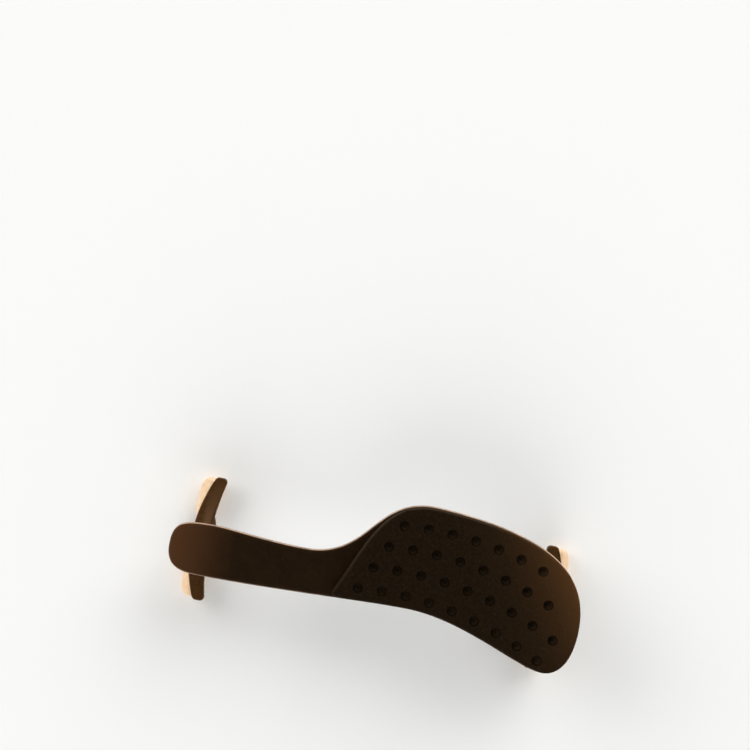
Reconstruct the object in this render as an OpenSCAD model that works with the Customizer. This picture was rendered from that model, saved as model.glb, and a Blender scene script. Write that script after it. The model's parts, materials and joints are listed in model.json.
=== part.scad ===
// Violin shoulder rest: a curved bar with a dimpled pad, carried by two folding feet
// whose rubber hooks grip the edge of the instrument's back.
// X runs along the foot line from the chest foot to the shoulder foot, Y points to the
// neck and Z away from the instrument. The rest stands on the lips of its four hooks.

/* [Bar] */
// Length of the bar from tip to tip
bar_length = 235; // [225:1:250]
// Thickness of the bar
bar_thickness = 5; // [4.6:0.1:7]
// Rounding of the bar's edges
bar_edge = 1.8; // [0.8:0.1:2.2]
// Rise of both ends of the bar over its middle
saddle_rise = 7.5; // [5:0.5:11]
// Further rise of the shoulder tip
hook_rise = 4; // [0:0.5:8]
// Upper edge of the arm over the foot line
arm_rise = 11.2; // [8.5:0.1:14]
// Lower edge of the arm under the foot line
arm_drop = 18.5; // [15:0.1:26]
// Upper edge of the waist over the foot line
waist_rise = 8.5; // [6.9:0.1:11]
// Lower edge of the waist under the foot line
waist_drop = 13.9; // [11:0.1:18]
// Crown of the shoulder lobe over the foot line
crown_rise = 46; // [38:0.2:54]
// Lowest point of the hook under the foot line
hook_drop = 33.4; // [27:0.2:40]
// Shoulder tip under the foot line
tip_drop = 6.6; // [1:0.1:12]
// Place of the waist along the bar
waist_x = -43; // [-50:1:-34]
// Place of the crown along the bar
crown_x = 28; // [20:1:36]
// Place of the inner bend of the lower edge
dip_x = 22; // [14:1:30]
// Distance of the hook's lowest point from the shoulder tip
hook_setback = 15.5; // [12:0.5:20]

/* [Pad] */
// Thickness of the pad
pad_thickness = 6; // [5:0.2:10]
// Extra height along the middle of the pad
pad_crown = 1.4; // [0:0.1:3]
// Rounding of the pad's upper edge
pad_edge = 1.6; // [1:0.1:1.9]
// Rim of the bar left bare around the pad
pad_rim = 0.8; // [0.3:0.1:2]
// Glue film under the pad
pad_glue = 0.15; // [0.1:0.05:0.3]
// Place along the bar where the pad begins
pad_start = -23; // [-27:0.5:-18]
// Rounding of the pad's lower left corner
pad_corner = 2.4; // [2.2:0.1:5]
// Lean of the pad's slanted edge, in degrees
pad_lean = 67; // [63:1:72]
// Diameter of a dimple
dimple_d = 5.4; // [3:0.1:7]
// Depth of a dimple
dimple_depth = 3; // [1:0.1:4]
// Spacing of the dimples along a row
dimple_pitch = 13.65; // [11:0.05:17]
// Spacing from row to row
row_pitch = 14.5; // [11:0.1:17]
// Least distance from a dimple's centre to the pad's edge
dimple_margin = 5; // [4:0.1:10]

/* [Fork and hooks] */
// Distance of each stem from the middle of the bar
foot_x = 94; // [90:0.5:97]
// Length of a fork from arm end to arm end
fork_chord = 72; // [68:0.5:80]
// Radius of the fork's outer edge
fork_radius = 85; // [75:1:110]
// Radius of the fork's inner edge
fork_inner_radius = 150; // [120:1:220]
// Width of the fork beside its stem
fork_root = 10.6; // [9.8:0.1:12]
// Rounding of a fork arm's end
fork_corner = 2.4; // [1:0.1:2.8]
// Distance of the fork's outer edge from its stem
fork_reach = 14.5; // [13:0.1:16]
// Thickness of the fork's arms
fork_t = 4; // [3:0.1:6]
// Diameter of the fork's hub
hub_d = 15; // [13.5:0.1:16]
// Height of the fork's hub
hub_h = 5.5; // [5:0.1:8]
// Distance of each hook from the foot line
prong_y = 22.5; // [21:0.5:23]
// Distance of the hooks' upper bends from the stem
prong_reach = 7; // [6.2:0.1:7.6]
// Turn of each hook with the fork's arc, in degrees
prong_turn = 4; // [0:1:8]
// Width of a prong inside its sleeve
prong_width = 20; // [16:0.5:20.5]
// Thickness of a prong
prong_t = 2.4; // [1.8:0.1:3]
// Outward flare of a prong, in degrees
prong_flare = 30; // [20:1:34]
// Radius of both bends of a prong's middle line
prong_bend = 3.4; // [3.1:0.1:4]
// Straight length of a prong's lip
lip_length = 3.2; // [2:0.1:5]
// Wall of a rubber sleeve
sleeve_wall = 1.6; // [1:0.1:1.8]
// End wall of a rubber sleeve
sleeve_end = 2; // [1.6:0.1:2.4]
// Rounding of a sleeve's corners, seen from above
sleeve_corner = 5; // [3:0.1:5.8]
// Clear height between a lip and the fork's arm
jaw_gap = 5.5; // [4.5:0.1:8]

/* [Stem and height wheel] */
// Diameter of the stem's thread
stem_d = 6; // [5.4:0.1:7]
// Width of the stem across its flats
stem_flats = 4.9; // [4:0.1:5.2]
// Diameter of the journal that the fork turns on
journal_d = 5; // [4:0.1:5.4]
// Diameter of the stem's collar
collar_d = 10; // [8:0.1:12]
// Thickness of the stem's collar
collar_t = 1.2; // [0.8:0.1:2]
// Thickness of the friction washer
washer_t = 0.5; // [0.3:0.1:1]
// Thickness of the stem clip
clip_t = 0.8; // [0.6:0.1:1]
// Diameter of the stem clip
clip_d = 9.2; // [8:0.1:9.6]
// How far the stem can be drawn in
draw_in = 3.2; // [2:0.1:5]
// How far the stem can be run out
run_out = 10; // [6:0.1:12]
// Diameter of the height wheel
wheel_d = 17; // [15:0.1:18]
// Thickness of the height wheel
wheel_t = 5; // [4:0.1:7]
// Number of flutes round the height wheel
wheel_flutes = 24; // [12:1:30]

/* [Housing and hinge] */
// Distance of the fold hinge from the stem
hinge_setback = 14; // [13.5:0.1:16]
// Width of the housing between the lugs
housing_width = 9.5; // [9:0.1:10]
// Thickness of the housing's two plates
plate_t = 2.5; // [2:0.1:4]
// Radius of the hinge knuckle
knuckle_r = 3.5; // [3:0.1:4.5]
// Diameter of the hinge pin
pin_d = 3; // [2:0.1:4]
// Thickness of a hinge lug
lug_t = 2.2; // [1.6:0.1:3]

/* [Carriage and rail] */
// Distance of the clamp screw from the fold hinge
clamp_setback = 16; // [15:0.1:19]
// Travel of the carriage each way
slide_travel = 10; // [6:0.5:10.5]
// Thickness of the carriage plate
carriage_t = 3; // [2.4:0.1:5]
// Width of the rail
rail_width = 12; // [11.6:0.1:12.6]
// Height of the rail
rail_height = 5; // [4.6:0.1:7]
// Thickness of the rail's lips
rail_lip = 1.4; // [1:0.1:1.8]
// Thickness of the rail's roof
rail_roof = 1.4; // [1.2:0.1:1.8]
// Width of the rail's slot
slot_width = 8.6; // [7.6:0.1:9.4]
// Width of the slot's mouth
slot_mouth = 5; // [4.6:0.1:5.6]
// Length of the slide nut
nut_length = 11; // [8:0.5:12]
// Diameter of the clamp stud
stud_d = 3; // [2.4:0.1:3.4]
// Diameter of the clamp knob
knob_d = 13; // [11:0.1:14]
// Height of the clamp knob
knob_h = 6; // [4:0.1:7]
// Number of flutes round the clamp knob
knob_flutes = 10; // [6:1:14]
// Diameter of a rail screw
screw_d = 3; // [2.4:0.1:3.4]
// Diameter of a rail screw's head
screw_head_d = 5.6; // [5:0.1:6.2]
// Distance of a rail screw from the end of the rail
screw_inset = 4.5; // [4:0.1:7]
// Outer diameter of a threaded insert
insert_d = 4.4; // [4:0.1:5]
// Length of a threaded insert
insert_length = 3.6; // [3:0.1:3.8]

/* [Clearances] */
// Radial clearance of a turning fit
run_gap = 0.05; // [0.02:0.01:0.1]
// Clearance of a sliding fit
slide_gap = 0.1; // [0.05:0.01:0.2]
// Clearance between faces that pass each other
face_gap = 0.3; // [0.2:0.05:0.5]
// Gap left at the hinge's stop
stop_gap = 0.15; // [0.1:0.05:0.3]

/* [Hidden] */
$fn = 72;
SIDES = ["chest", "shoulder"];
PIECES = [
    "rail", "rail_screws", "rail_inserts", "slide_nut", "carriage", "clamp_stud", "clamp_knob",
    "hinge_pin", "housing", "height_wheel", "stem", "washer", "fork", "clip", "neck_sleeve", "tail_sleeve"
];

black_nylon = "#221c16";
black_foam = "#282019";
latex = "#ebc69c";
steel = "#9a9894";
brass = "#b4914c";
aluminium = "#b9bbbd";

// Heights over the table, stacked from the hook lips up to the bar
lip_h = prong_t + 2 * sleeve_wall;
fork_z = lip_h + jaw_gap;
hub_top = fork_z + hub_h;
collar_z = hub_top + washer_t;
collar_top = collar_z + collar_t;
housing_z = collar_top + draw_in + face_gap;
wheel_z = housing_z + plate_t + face_gap;
wheel_top = wheel_z + wheel_t;
upper_plate_z = wheel_top + face_gap;
housing_top = upper_plate_z + plate_t;
hinge_z = housing_top - knuckle_r;
carriage_z = housing_top + stop_gap;
carriage_top = carriage_z + carriage_t;
rail_z = carriage_top + slide_gap;
slot_z = rail_z + rail_lip;
roof_z = rail_z + rail_height - rail_roof;
boss_z = rail_z + rail_height;
stem_top = wheel_top + run_out;

// How far a cut runs past the face that it opens
past = 1;

// Places along X on a foot
hinge_x = foot_x - hinge_setback;
clamp_x = hinge_x - clamp_setback;
rail_out = foot_x - slide_travel - stem_d / 2 - face_gap;
rail_end = 2.5;
rail_in = clamp_x - slide_travel - nut_length / 2 - rail_end;
screw_places = [rail_in + screw_inset, rail_out - screw_inset];

// The rest's box is centred on the origin, so the foot line lies a little below it
half_length = bar_length / 2;
foot_line = (max(hook_drop, fork_chord / 2) - crown_rise) / 2;

// Height of the bar's underside: a saddle that leaves the least boss over the rails' inner ends
boss_least = 0.5;
hook_from = 60;
function saddle(x) = saddle_rise * pow(x / half_length, 2);
function hook_lift(x) = hook_rise * pow(max(0, x - hook_from) / (half_length - hook_from), 2);
bar_z = boss_z + boss_least - saddle(rail_in);
function bar_under(x) = bar_z + saddle(x) + hook_lift(x);
function bar_over(x) = bar_under(x) + bar_thickness;

// A knot of an outline is [x, y, heading, reach back, reach on]; a cubic joins two knots
function ahead(k) = [k[0] + k[4] * cos(k[2]), k[1] + k[4] * sin(k[2])];
function behind(k) = [k[0] - k[3] * cos(k[2]), k[1] - k[3] * sin(k[2])];
function cubic(a, b, t) =
    pow(1 - t, 3) * [a[0], a[1]] + 3 * pow(1 - t, 2) * t * ahead(a)
    + 3 * (1 - t) * t * t * behind(b) + pow(t, 3) * [b[0], b[1]];
function curve(knots, steps = 24) = concat(
    [for (i = [0:len(knots) - 2]) for (s = [0:steps - 1]) cubic(knots[i], knots[i + 1], s / steps)],
    [[knots[len(knots) - 1][0], knots[len(knots) - 1][1]]]
);

// The bar's outline, from the chest tip to the shoulder tip along either edge
chest_tip_y = (arm_rise - arm_drop) / 2;
arm_top_setback = 25;
arm_low_setback = 17;
arm_top_x = arm_top_setback - half_length;
arm_low_x = arm_low_setback - half_length;
hook_x = half_length - hook_setback;
crown_heading = -2;
swell = 0.54 * (crown_x - waist_x);
bar_upper = curve([
    [-half_length, chest_tip_y, 90, 0, 0.85 * (arm_rise - chest_tip_y)],
    [arm_top_x, arm_rise, 0, 0.85 * (half_length + arm_top_x), 0.16 * (waist_x - arm_top_x)],
    [waist_x, waist_rise, 0, 0.5 * (waist_x - arm_top_x), swell],
    [crown_x, crown_rise, crown_heading, swell, 0.8 * (half_length - crown_x)],
    [half_length, -tip_drop, -90, 0.575 * (crown_rise + tip_drop), 0]
]);
bar_lower = curve([
    [-half_length, chest_tip_y, -90, 0, 0.7 * (arm_drop + chest_tip_y)],
    [arm_low_x, -arm_drop, 0, 0.7 * (half_length + arm_low_x), 0.43 * (dip_x - arm_low_x)],
    [dip_x, -waist_drop, 0, 0.2 * (dip_x - arm_low_x), 0.4 * (hook_x - dip_x)],
    [hook_x, -hook_drop, 0, 0.18 * (hook_x - dip_x), 0.5 * (half_length - hook_x)],
    [half_length, -tip_drop, 90, 0.63 * (hook_drop - tip_drop), 0]
]);

// The pad's outline: a slanted edge across the bar, then the bar's own edges less the rim
pad_tip_x = half_length - pad_rim;
pad_corner_x = pad_start + pad_corner;
pad_tip_y = lookup(pad_start, bar_lower) + pad_rim + pad_corner;
pad_corner_y = lookup(pad_corner_x, bar_lower) + pad_rim;
pad_corner_heading = 3;
pad_slant = crown_x - pad_start;
pad_upper = curve([
    [pad_start, pad_tip_y, 90, 0, 0.7 * pad_corner],
    [pad_corner_x, pad_tip_y + 2.2 * pad_corner, pad_lean, 1.1 * pad_corner, 0.66 * pad_slant],
    [crown_x, crown_rise - pad_rim, crown_heading, 0.57 * pad_slant, 0.8 * (half_length - crown_x)],
    [pad_tip_x, -tip_drop, -90, 0.575 * (crown_rise + tip_drop), 0]
]);
pad_lower = curve([
    [pad_start, pad_tip_y, -90, 0, 0.55 * pad_corner],
    [pad_corner_x, pad_corner_y, pad_corner_heading, 0.55 * pad_corner, 0.3 * (dip_x - pad_corner_x)],
    [dip_x, -waist_drop + pad_rim, 0, 0.3 * (dip_x - pad_corner_x), 0.4 * (hook_x - dip_x)],
    [hook_x, -hook_drop + pad_rim, 0, 0.18 * (hook_x - dip_x), 0.5 * (half_length - hook_x)],
    [pad_tip_x, -tip_drop, 90, 0.63 * (hook_drop - tip_drop), 0]
]);
function pad_height(x, y) =
    let (
        low = lookup(x, pad_lower),
        high = lookup(x, pad_upper),
        across = (2 * y - low - high) / max(1, high - low)
    )
    pad_crown * (1 - min(1, across * across));
function pad_over(x, y) = bar_over(x) + pad_glue + pad_thickness + pad_height(x, y);

// Dimples lie in rows that bend down towards the hook
dimple_offset = [14.3, 5.6];
dimple_first = [pad_start, pad_tip_y] + dimple_offset;
row_counts = [9, 9, 8, 7];
row_lean = 64.2;
row_heading = 3.7;
row_turn = 4;
function along_row(n) =
    n == 0 ? [0, 0] : along_row(n - 1)
        + dimple_pitch * [cos(row_heading - row_turn * (n - 1)), sin(row_heading - row_turn * (n - 1))];
function on_pad(x, y) =
    x > pad_start && x < pad_tip_x && y > lookup(x, pad_lower) && y < lookup(x, pad_upper);
function clear_of_edge(p) = min([for (a = [0:45:315])
    on_pad(p[0] + dimple_margin * cos(a), p[1] + dimple_margin * sin(a)) ? 1 : 0]) == 1;
dimples = [
    for (row = [0:len(row_counts) - 1]) for (n = [0:row_counts[row] - 1])
        let (p = dimple_first + row * row_pitch * [cos(row_lean), sin(row_lean)] + along_row(n))
        if (clear_of_edge(p)) p
];

// Middle line of a hook in the XZ plane: out of the fork's arm, down, and round to the lip
hook_root_x = foot_x + prong_reach;
hook_root_z = fork_z + fork_t / 2;
hook_fall = hook_root_z - lip_h / 2;
hook_straight = (hook_fall - 2 * prong_bend) / cos(prong_flare);
hook_knee = [hook_root_x, hook_root_z - prong_bend];
hook_centre = [hook_root_x + hook_straight * sin(prong_flare), lip_h / 2 + prong_bend];
hook_out = hook_centre[0] + prong_bend + lip_h / 2;
hook_in = hook_centre[0] - lip_length - lip_h / 2;
hook_steps = 8;
hook_line = concat(
    [for (s = [0:hook_steps])
        let (a = 90 - s / hook_steps * (90 - prong_flare))
        hook_knee + prong_bend * [cos(a), sin(a)]],
    [for (s = [0:hook_steps])
        let (a = prong_flare - s / hook_steps * (prong_flare + 90))
        hook_centre + prong_bend * [cos(a), sin(a)]],
    [[hook_centre[0] - lip_length, lip_h / 2]]
);

// A band of even width along a line, with a round far end
end_steps = 12;
function unit(v) = v / norm(v);
function left_of(v) = [-v[1], v[0]];
function heading(line, i) = unit(line[min(i + 1, len(line) - 1)] - line[max(i - 1, 0)]);
function beside(line, d) = [for (i = [0:len(line) - 1]) line[i] + d * left_of(heading(line, i))];
function backwards(list) = [for (i = [len(list) - 1:-1:0]) list[i]];
function round_end(line, d) =
    let (last = len(line) - 1, u = heading(line, last))
    [for (s = [1:end_steps - 1]) let (a = 90 - 180 * s / end_steps)
        line[last] + d * (cos(a) * u + sin(a) * left_of(u))];
function band(line, d) = concat(beside(line, d), round_end(line, d), backwards(beside(line, -d)));

// Shared shapes

// A slab between two edges that meet at both tips. The profile lists [inset, rise] pairs from
// the underside's rim to the top's; under gives the underside's height and crown what the top adds.
module slab(upper, lower, stations, profile, under, crown, columns) {
    first = upper[0][0];
    length = upper[len(upper) - 1][0] - first;
    places = [for (i = [0:stations]) first + length * (1 - cos(180 * i / stations)) / 2];
    loop = concat(
        [for (i = [0:stations]) [places[i], lookup(places[i], upper)]],
        [for (i = [stations - 1:-1:1]) [places[i], lookup(places[i], lower)]]
    );
    count = len(loop);
    rings = len(profile);
    height = profile[rings - 1][1];
    function inset(s, d) =
        loop[s] - d * left_of(unit(loop[(s + 1) % count] - loop[(s + count - 1) % count]));
    function lifted(q, rise) = [q[0], q[1], under(q[0]) + rise + crown(q[0], q[1]) * rise / height];
    function across(i, j, d) = inset(i, d) * (1 - j / columns) + inset(count - i, d) * j / columns;
    ring_points = [for (p = profile) for (s = [0:count - 1]) lifted(inset(s, p[0]), p[1])];
    inner = (stations - 1) * (columns - 1);
    caps = [for (p = [profile[0], profile[rings - 1]]) for (i = [1:stations - 1])
        for (j = [1:1:columns - 1]) lifted(across(i, j, p[0]), p[1])];
    function cap_id(cap, i, j) =
        let (ring = cap * (rings - 1) * count)
        j == 0 || i == 0 || i == stations ? ring + i
        : j == columns ? ring + count - i
        : rings * count + cap * inner + (i - 1) * (columns - 1) + j - 1;
    walls = [for (k = [0:rings - 2]) for (s = [0:count - 1])
        let (a = k * count + s, b = k * count + (s + 1) % count)
        each [[a, b, b + count], [a, b + count, a + count]]];
    lids = [for (cap = [0, 1]) for (i = [0:stations - 1]) for (j = [0:columns - 1])
        let (
            a = cap_id(cap, i, j),
            b = cap_id(cap, i + 1, j),
            c = cap_id(cap, i + 1, j + 1),
            d = cap_id(cap, i, j + 1),
            halves = concat(b == c ? [] : [[a, b, c]], a == d ? [] : [[a, c, d]])
        )
        each cap == 1 ? halves : [for (f = halves) backwards(f)]];
    polyhedron(concat(ring_points, caps), concat(walls, lids));
}

module rounded_rectangle(length, width, r) {
    square([length - 2 * r, width], center = true);
    square([length, width - 2 * r], center = true);
    for (x = [-1, 1], y = [-1, 1]) translate([x * (length / 2 - r), y * (width / 2 - r)]) circle(r);
}

// A plan extruded along Y, drawn in the XZ plane and centred on a distance from the foot line
module along_y(y, width) {
    translate([0, y + width / 2, 0]) rotate([90, 0, 0]) linear_extrude(width) children();
}

module pipe(r, z, top) {
    translate([0, 0, z]) cylinder(r = r, h = top - z);
}

// A round knob about Z with chamfered edges and flutes
module fluted(d, h, chamfer, flutes, flute_r) {
    difference() {
        rotate_extrude() polygon([
            [0, 0], [d / 2 - chamfer, 0], [d / 2, chamfer], [d / 2, h - chamfer], [d / 2 - chamfer, h], [0, h]
        ]);
        for (i = [0:flutes - 1]) rotate(360 * i / flutes) translate([d / 2 + flute_r / 2, 0, -past])
            cylinder(r = flute_r, h = h + 2 * past);
    }
}

// The stem's section: a circle with two flats
module stem_section(gap) {
    intersection() {
        circle(r = stem_d / 2 + gap);
        square([stem_d + past, stem_flats + 2 * gap], center = true);
    }
}

// Bar and pad
bar_stations = 48;
bar_round_steps = 3;
insert_relief = 0.4;
module bar() {
    profile = concat(
        [for (s = [0:bar_round_steps]) let (a = 90 * s / bar_round_steps)
            [bar_edge * (1 - sin(a)), bar_edge * (1 - cos(a))]],
        [for (s = [0:bar_round_steps]) let (a = 90 * s / bar_round_steps)
            [bar_edge * (1 - cos(a)), bar_thickness - bar_edge * (1 - sin(a))]]
    );
    color(black_nylon) translate([0, foot_line, 0]) difference() {
        union() {
            slab(bar_upper, bar_lower, bar_stations, profile, function (x) bar_under(x),
                function (x, y) 0, 1);
            for (side = [-1, 1]) rail_boss(side);
        }
        for (side = [-1, 1]) for (x = screw_places) translate([side * x, 0, 0])
            pipe(insert_d / 2, boss_z - past, boss_z + insert_length + insert_relief);
    }
}

// Flat seat under the bar for one rail
boss_side = 0.5;
boss_bury = 1;
boss_corner = 1.5;
module rail_boss(side) {
    top = bar_under(side * rail_out) + boss_bury;
    translate([side * (rail_in + rail_out) / 2, 0, boss_z]) linear_extrude(top - boss_z)
        rounded_rectangle(rail_out - rail_in, rail_width + 2 * boss_side, boss_corner);
}

pad_foot = 0.6;
pad_stations = 44;
pad_columns = 4;
pad_round_steps = 3;
module pad() {
    profile = concat(
        [[pad_foot, 0], [0, pad_foot]],
        [for (s = [0:pad_round_steps]) let (a = 90 * s / pad_round_steps)
            [pad_edge * (1 - cos(a)), pad_thickness - pad_edge * (1 - sin(a))]]
    );
    color(black_foam) translate([0, foot_line, 0]) difference() {
        slab(pad_upper, pad_lower, pad_stations, profile, function (x) bar_over(x) + pad_glue,
            function (x, y) pad_height(x, y), pad_columns);
        for (p = dimples) translate([p[0], p[1], pad_over(p[0], p[1]) - dimple_depth])
            cylinder(r = dimple_d / 2, h = dimple_depth + pad_crown + past);
    }
}

// Pieces of one foot, drawn for the shoulder side

// Slotted rail screwed under the bar
module rail() {
    length = rail_out - rail_in;
    color(aluminium) difference() {
        translate([rail_in, -rail_width / 2, rail_z]) cube([length, rail_width, rail_height]);
        translate([rail_in - past, -slot_width / 2, slot_z])
            cube([length + 2 * past, slot_width, roof_z - slot_z]);
        translate([rail_in - past, -slot_mouth / 2, rail_z - past])
            cube([length + 2 * past, slot_mouth, rail_lip + 2 * past]);
        for (x = screw_places) translate([x, 0, 0]) screw_body(0);
    }
}

// Countersunk head in the roof and shank above it
module screw_body(shorter) {
    translate([0, 0, roof_z]) cylinder(r1 = screw_head_d / 2, r2 = screw_d / 2, h = rail_roof);
    pipe(screw_d / 2, boss_z, boss_z + insert_length - shorter);
}

screw_hex = 2;
screw_hex_depth = 0.9;
screw_short = 0.2;
module rail_screws() {
    color(steel) for (x = screw_places) translate([x, 0, 0]) difference() {
        screw_body(screw_short);
        translate([0, 0, roof_z - past])
            cylinder(d = screw_hex / cos(30), h = past + screw_hex_depth, $fn = 6);
    }
}

module rail_inserts() {
    color(brass) for (x = screw_places) translate([x, 0, 0]) difference() {
        pipe(insert_d / 2, boss_z, boss_z + insert_length);
        pipe(screw_d / 2, boss_z - past, boss_z + insert_length + past);
    }
}

// Nut that runs in the rail's slot and takes the clamp stud
nut_lift = 0.05;
module slide_nut() {
    wide = slot_width - 2 * slide_gap;
    narrow = slot_mouth - 2 * slide_gap;
    body_z = slot_z + nut_lift;
    body_top = roof_z - 2 * slide_gap;
    color(brass) translate([clamp_x, 0, 0]) difference() {
        union() {
            translate([-nut_length / 2, -wide / 2, body_z]) cube([nut_length, wide, body_top - body_z]);
            translate([-nut_length / 2, -narrow / 2, carriage_top + 2 * slide_gap])
                cube([nut_length, narrow, body_z - carriage_top]);
        }
        pipe(stud_d / 2 + run_gap, rail_z - past, boss_z);
    }
}

// Plate under the rail with a guide key, and two lugs for the fold hinge
carriage_nose = 7;
carriage_corner = 1.5;
lug_wall = 0.5;
lug_r = knuckle_r + lug_wall;
key_clear = 1;
key_setback = 2;
module carriage() {
    lug_y = housing_width / 2 + stop_gap;
    width = 2 * (lug_y + lug_t);
    plate_in = clamp_x - carriage_nose;
    plate_out = hinge_x + lug_r;
    key_in = clamp_x + nut_length / 2 + key_clear;
    key_width = slot_mouth - 2 * slide_gap;
    color(black_nylon) difference() {
        union() {
            translate([(plate_in + plate_out) / 2, 0, carriage_z]) linear_extrude(carriage_t)
                rounded_rectangle(plate_out - plate_in, width, carriage_corner);
            translate([key_in, -key_width / 2, carriage_z])
                cube([plate_out - key_setback - key_in, key_width, carriage_t + rail_lip]);
            for (side = [-1, 1]) along_y(side * (lug_y + lug_t / 2), lug_t) {
                translate([hinge_x, hinge_z]) circle(lug_r);
                translate([hinge_x - lug_r, hinge_z]) square([2 * lug_r, carriage_top - hinge_z]);
            }
        }
        translate([clamp_x, 0, 0]) pipe(stud_d / 2 + slide_gap, carriage_z - past, carriage_top + past);
        along_y(0, width + past) translate([hinge_x, hinge_z]) circle(pin_d / 2);
    }
}

knob_top = carriage_z - slide_gap;
knob_z = knob_top - knob_h;
knob_floor = 1.2;
knob_chamfer = 0.8;
knob_flute_r = 1.3;
module clamp_stud() {
    color(steel) translate([clamp_x, 0, 0]) pipe(stud_d / 2, knob_z + knob_floor, roof_z - 3 * slide_gap);
}

module clamp_knob() {
    color(black_nylon) translate([clamp_x, 0, 0]) difference() {
        translate([0, 0, knob_z]) fluted(knob_d, knob_h, knob_chamfer, knob_flutes, knob_flute_r);
        pipe(stud_d / 2, knob_z + knob_floor, knob_top + past);
    }
}

module hinge_pin() {
    color(steel) along_y(0, housing_width + 2 * (stop_gap + lug_t))
        translate([hinge_x, hinge_z]) circle(pin_d / 2);
}

// Folding C frame that holds the height wheel between two plates
spine_gap = 0.4;
plate_r = 6;
module housing() {
    spine_out = foot_x - wheel_d / 2 - spine_gap;
    color(black_nylon) difference() {
        union() {
            for (z = [housing_z, upper_plate_z]) translate([0, 0, z]) linear_extrude(plate_t) {
                translate([hinge_x, -housing_width / 2]) square([hinge_setback, housing_width]);
                translate([foot_x, 0]) circle(plate_r);
            }
            translate([hinge_x, -housing_width / 2, housing_z])
                cube([spine_out - hinge_x, housing_width, housing_top - housing_z]);
            along_y(0, housing_width) translate([hinge_x, hinge_z]) circle(knuckle_r);
        }
        along_y(0, housing_width + past) translate([hinge_x, hinge_z]) circle(pin_d / 2 + run_gap);
        translate([foot_x, 0, housing_z - past]) linear_extrude(housing_top - housing_z + 2 * past)
            stem_section(slide_gap);
    }
}

// Knurled nut that runs the stem in and out
wheel_chamfer = 0.6;
wheel_flute_r = 0.7;
module height_wheel() {
    color(brass) translate([foot_x, 0, 0]) difference() {
        translate([0, 0, wheel_z]) fluted(wheel_d, wheel_t, wheel_chamfer, wheel_flutes, wheel_flute_r);
        pipe(stem_d / 2 + run_gap, wheel_z - past, wheel_top + past);
    }
}

clip_seat = 0.1;
hub_floor = 3.5;
clip_hub = hub_h - hub_floor;
clip_top = fork_z + clip_hub - clip_seat;
clip_groove = 0.5;
stem_end = 0.5;
module stem() {
    color(steel) translate([foot_x, 0, 0]) difference() {
        union() {
            pipe(journal_d / 2, fork_z + stem_end, collar_z);
            pipe(collar_d / 2, collar_z, collar_top);
            translate([0, 0, collar_top]) linear_extrude(stem_top - collar_top) stem_section(0);
        }
        difference() {
            pipe(journal_d, clip_top - clip_t, clip_top);
            pipe(journal_d / 2 - clip_groove, clip_top - clip_t - past, clip_top + past);
        }
    }
}

// Friction washer between the fork's hub and the stem's collar
module washer() {
    color(steel) translate([foot_x, 0, 0]) difference() {
        pipe(collar_d / 2, hub_top, collar_z);
        pipe(journal_d / 2 + run_gap, hub_top - past, collar_z + past);
    }
}

// Clip in the stem's groove, under the hub, open on one side
clip_mouth = 0.8;
module clip() {
    inner = journal_d / 2 - clip_groove;
    mouth = clip_mouth * inner;
    color(steel) translate([foot_x, 0, clip_top - clip_t]) linear_extrude(clip_t) difference() {
        circle(r = clip_d / 2);
        circle(r = inner);
        translate([0, -mouth]) square([clip_d, 2 * mouth]);
    }
}

// Swivelling fork: two arms, a hub on the stem and a prong for each hook
clip_room = 0.5;
module fork() {
    color(black_nylon) difference() {
        union() {
            translate([0, 0, fork_z]) linear_extrude(fork_t) fork_plan();
            translate([foot_x, 0, 0]) pipe(hub_d / 2, fork_z, hub_top);
            for (side = [-1, 1]) on_prong(side) prong();
        }
        translate([foot_x, 0, 0]) {
            pipe(journal_d / 2 + run_gap, fork_z - past, hub_top + past);
            pipe(clip_d / 2 + clip_room, fork_z - past, fork_z + clip_hub);
        }
    }
}

// The arms' plan: an arc outside and a flatter one inside, rounded corners, and a web to the hub
web_half = 18;
web_front = 1.2;
web_tuck = 0.3;
web_sink = 1;
fork_inner = foot_x + fork_reach - fork_root;
module fork_plan() {
    outer_arc_x = foot_x + fork_reach - fork_radius;
    inner_arc_x = fork_inner - fork_inner_radius;
    corner_y = fork_chord / 2 - fork_corner;
    corner_r = fork_radius - fork_corner;
    corner_a = asin(corner_y / corner_r);
    outer_x = outer_arc_x + corner_r * cos(corner_a);
    inner_x = inner_arc_x + sqrt(pow(fork_inner_radius + fork_corner, 2) - pow(corner_y, 2));
    fan = fork_radius * [cos(corner_a), sin(corner_a)];
    hub_edge = [foot_x + web_front, hub_d / 2 - web_tuck];
    difference() {
        intersection() {
            translate([outer_arc_x, 0]) circle(fork_radius);
            polygon([
                [inner_arc_x, 0], [inner_x, -corner_y], [outer_x, -corner_y],
                [outer_x + fan[0], -corner_y - fan[1]], [outer_x + fan[0], corner_y + fan[1]],
                [outer_x, corner_y], [inner_x, corner_y]
            ]);
        }
        translate([inner_arc_x, 0]) circle(fork_inner_radius);
    }
    for (side = [-1, 1]) {
        translate([inner_x, side * corner_y]) circle(fork_corner);
        translate([outer_x, side * corner_y]) circle(fork_corner);
        translate([inner_x, side * corner_y - (side < 0 ? fork_corner : 0)])
            square([outer_x - inner_x, fork_corner]);
    }
    polygon([
        [hub_edge[0], -hub_edge[1]], hub_edge,
        [fork_inner + web_sink, web_half], [fork_inner + web_sink, -web_half]
    ]);
}

// Places a hook at its root in an arm, turned a little with the arc
module on_prong(side) {
    translate([hook_root_x, side * prong_y, 0]) rotate(side * prong_turn) translate([-hook_root_x, 0, 0])
        children();
}

// A hook of even thickness along its middle line, with corners rounded in plan
plan_ease = 0.3;
module hook(thickness, width, corner) {
    ease = plan_ease - (lip_h - thickness) / 2;
    intersection() {
        along_y(0, width + 2 * past) polygon(band(hook_line, thickness / 2));
        translate([(hook_in + hook_out) / 2, 0, -past]) linear_extrude(hook_root_z + lip_h)
            rounded_rectangle(hook_out - hook_in + 2 * ease, width, corner);
    }
}

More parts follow.
